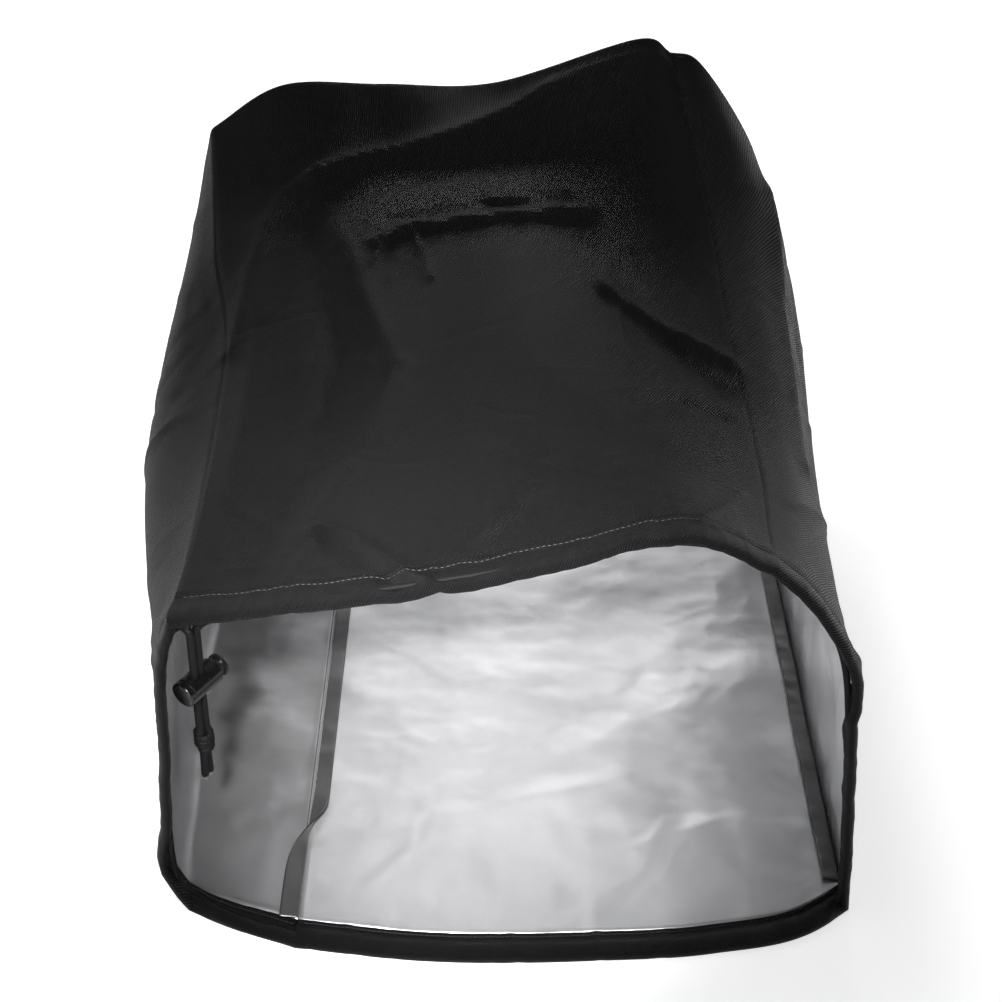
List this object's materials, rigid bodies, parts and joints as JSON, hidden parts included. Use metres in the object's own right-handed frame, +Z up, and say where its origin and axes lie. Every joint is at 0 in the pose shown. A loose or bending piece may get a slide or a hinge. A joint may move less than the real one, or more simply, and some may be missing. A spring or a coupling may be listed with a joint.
{
  "type": "grill cover",
  "caption": "Boxy weatherproof cover of coated black cloth with a drawcord hem and a spring cord lock, lying on its back with the mouth open.",
  "frame": {"origin": "middle of the lying cover's outline, on the surface it lies on", "axes": "+Z up out of the front panel, -Y out of the mouth, +Y towards the closed end; in use the cover is turned about X so that -Y points down"},
  "size_m": [0.473, 0.5442, 0.407],
  "materials": {
    "black_cloth": "coated polyester twill, satin",
    "silver_coating": "silver waterproof coating, satin",
    "black_thread": "polyester sewing thread",
    "black_cord": "braided polyester cord",
    "black_plastic": "moulded, glossy",
    "black_plastic_cap": "moulded, glossy",
    "spring_steel": "spring wire"
  },
  "bodies": {
    "cover": {"front_panel": "black_cloth", "back_panel": "black_cloth", "left_side_panel": "black_cloth", "right_side_panel": "black_cloth", "top_panel": "black_cloth", "left_hem": "black_cloth", "back_hem": "black_cloth", "right_hem": "black_cloth", "front_hem": "black_cloth", "left_back_seam_allowance": "silver_coating", "right_back_seam_allowance": "silver_coating", "left_front_seam_allowance": "silver_coating", "right_front_seam_allowance": "silver_coating", "closed_end_seam_allowance": "silver_coating", "left_back_seam_thread": "black_thread", "right_back_seam_thread": "black_thread", "left_front_seam_thread": "black_thread", "right_front_seam_thread": "black_thread", "closed_end_seam_thread": "black_thread", "hem_thread": "black_thread", "drawcord": "black_cord", "drawcord_tail_left": "black_cord", "drawcord_tail_right": "black_cord", "drawcord_knot": "black_cord"},
    "cord_lock": {"cord_lock_barrel": "black_plastic", "cord_lock_spring": "spring_steel"},
    "plunger": {"cord_lock_plunger": "black_plastic_cap"}
  },
  "joints": [
    {"name": "cord_lock_slide", "type": "slide", "parent": "cover", "child": "cord_lock", "axis": [-0.04, 0.2249, -0.9736], "range_m": [-0.018, 0.028]},
    {"name": "plunger_press", "type": "slide", "parent": "cord_lock", "child": "plunger", "axis": [-0.6007, -0.784, -0.1564], "range_m": [0, 0.0038], "stiffness_N_per_m": 900}
  ]
}
